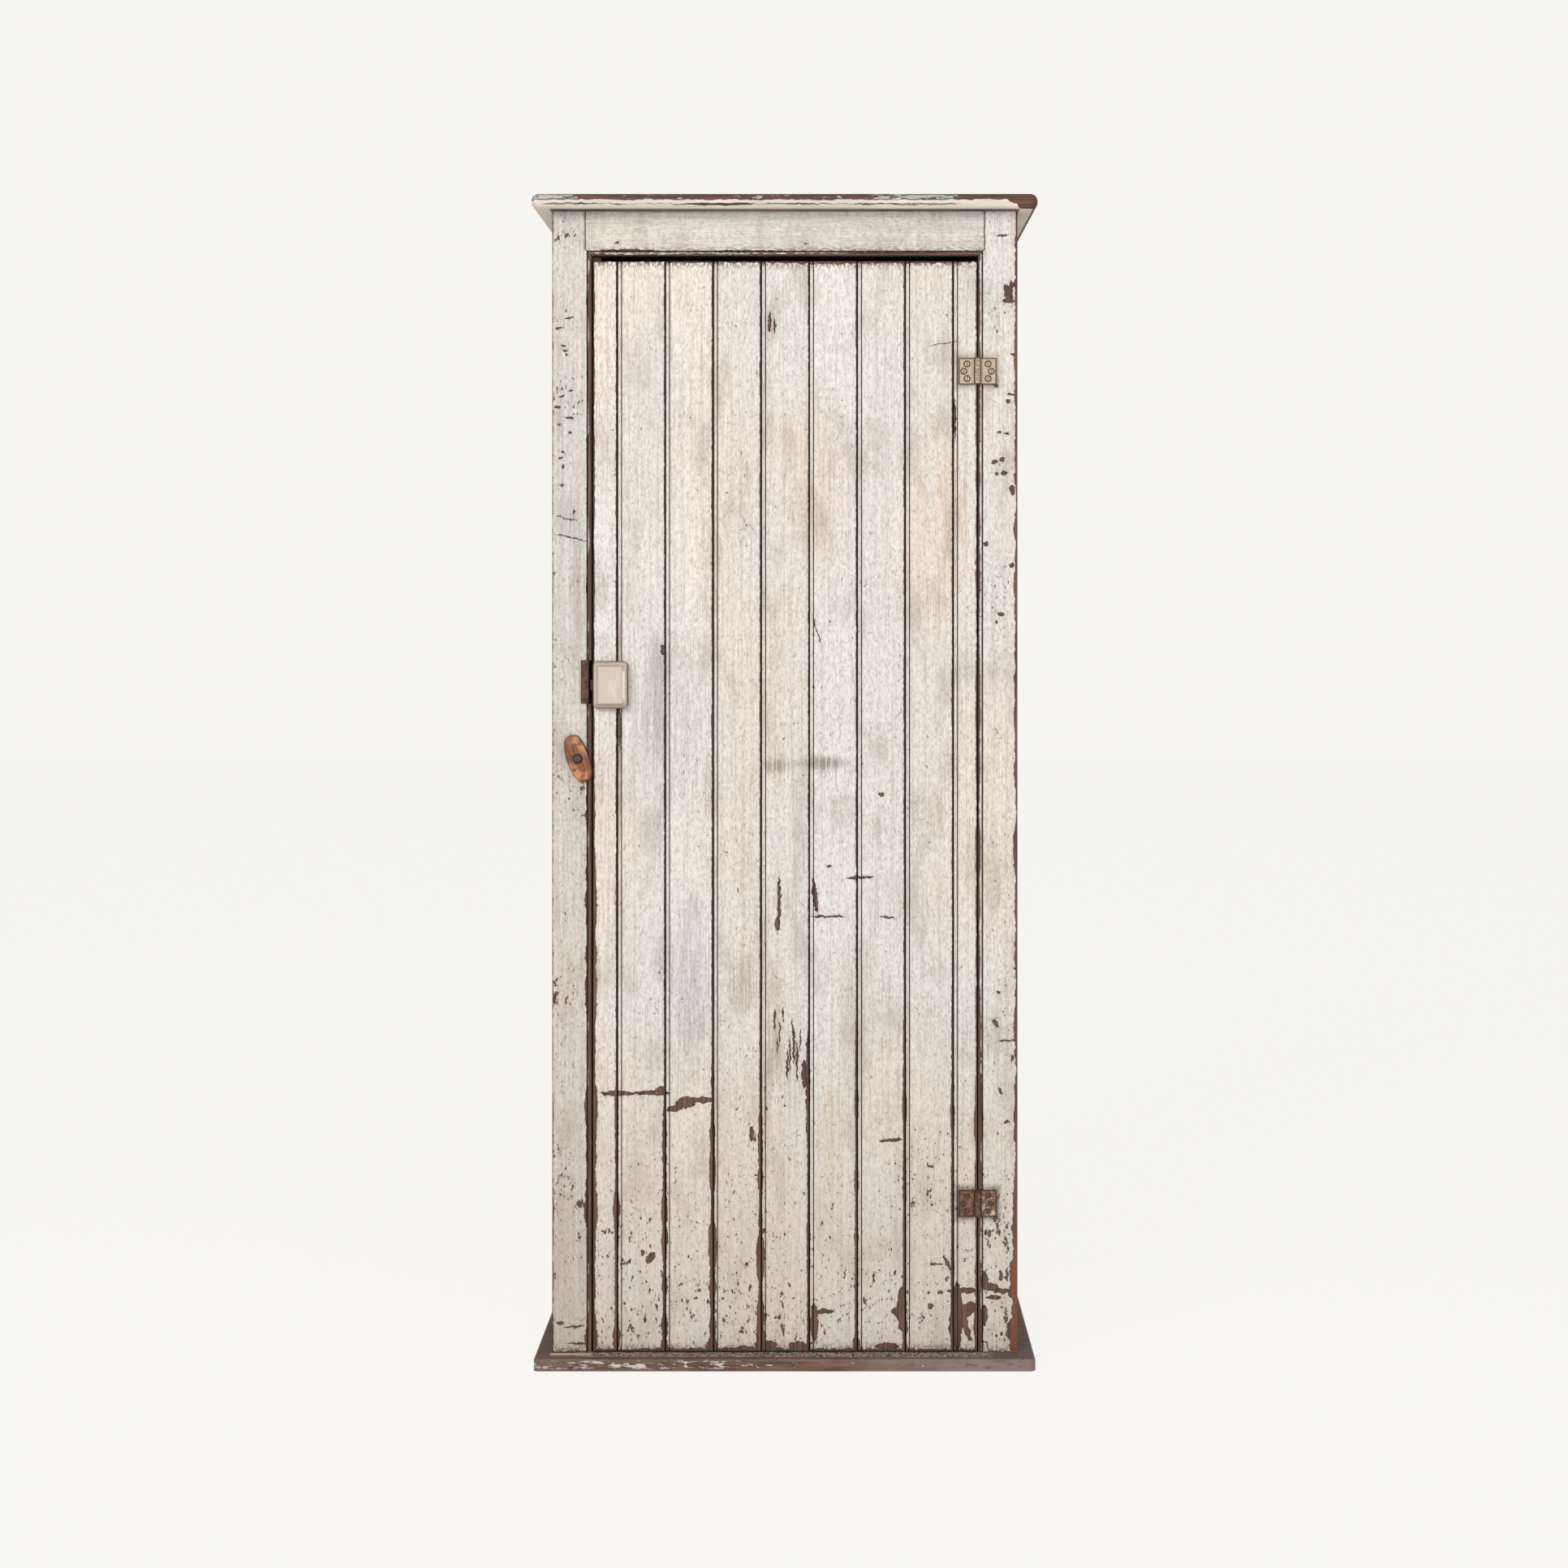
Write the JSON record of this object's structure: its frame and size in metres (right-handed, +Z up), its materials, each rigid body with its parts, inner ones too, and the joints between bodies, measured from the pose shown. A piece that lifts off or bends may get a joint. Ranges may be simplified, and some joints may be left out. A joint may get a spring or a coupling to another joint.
{
  "type": "cupboard",
  "caption": "Tall free-standing painted cupboard with a beaded tongue-and-groove door, surface hinges, a rim latch, a wooden turn button, shelves and a projecting top and base.",
  "frame": {"origin": "centre of the bounding box at floor level", "axes": "+Z up, -Y out of the door side, +X towards the hinge side"},
  "size_m": [0.788, 0.386, 1.829],
  "materials": {
    "painted_wood": "aged cream paint, chipped to brown wood, matt",
    "bare_wood": "bare worn brown wood with paint remnants",
    "inner_wood": "unpainted aged softwood",
    "button_wood": "bare reddish hardwood, hand rubbed",
    "rusty_iron": "rusted iron with paint remnants",
    "painted_iron": "thick cream paint over iron",
    "steel_fasteners": "dull, tarnished"
  },
  "bodies": {
    "cabinet": {"back_board_1": "inner_wood", "back_board_2": "inner_wood", "back_board_3": "inner_wood", "back_board_4": "inner_wood", "back_board_5": "inner_wood", "base_board": "bare_wood", "door_stop": "inner_wood", "frame_screws": "steel_fasteners", "hinge_frame_leaves": "rusty_iron", "hinge_pins": "rusty_iron", "keeper_plate": "rusty_iron", "left_cleat_lower": "inner_wood", "left_cleat_middle": "inner_wood", "left_cleat_upper": "inner_wood", "left_side_board_1": "painted_wood", "left_side_board_2": "painted_wood", "left_side_board_3": "painted_wood", "left_stile": "painted_wood", "right_cleat_lower": "inner_wood", "right_cleat_middle": "inner_wood", "right_cleat_upper": "inner_wood", "right_side_board_1": "painted_wood", "right_side_board_2": "painted_wood", "right_side_board_3": "painted_wood", "right_stile": "painted_wood", "shelf_lower": "inner_wood", "shelf_middle": "inner_wood", "shelf_upper": "inner_wood", "top_board": "painted_wood", "top_rail": "painted_wood", "turn_button_washer": "rusty_iron"},
    "door": {"door_board_1": "painted_wood", "door_board_2": "painted_wood", "door_board_3": "painted_wood", "door_board_4": "painted_wood", "door_board_5": "painted_wood", "door_board_6": "painted_wood", "door_board_7": "painted_wood", "door_board_8": "painted_wood", "door_board_9": "painted_wood", "door_ledge_bottom": "inner_wood", "door_ledge_middle": "inner_wood", "door_ledge_top": "inner_wood", "door_nails": "steel_fasteners", "door_screws": "steel_fasteners", "hinge_door_leaves": "rusty_iron", "latch_case": "painted_iron", "latch_plate": "rusty_iron", "latch_spring": "rusty_iron"},
    "turn_button": {"turn_button": "button_wood"},
    "latch_bolt": {"latch_bolt": "rusty_iron"}
  },
  "joints": [
    {"name": "door_hinge", "type": "hinge", "parent": "cabinet", "child": "door", "pos_m": [0.3015, -0.1678, 0.9042], "axis": [0, 0, 1], "range_deg": [0, 165]},
    {"name": "turn_button_pivot", "type": "hinge", "parent": "cabinet", "child": "turn_button", "pos_m": [-0.323, -0.1695, 0.9495], "axis": [0, 1, 0], "continuous": true},
    {"name": "latch_bolt_slide", "type": "slide", "parent": "door", "child": "latch_bolt", "axis": [1, 0, 0], "range_m": [0, 0.0035], "stiffness_N_per_m": 250, "springref_m": -0.006, "deforming": ["latch_spring"]}
  ]
}
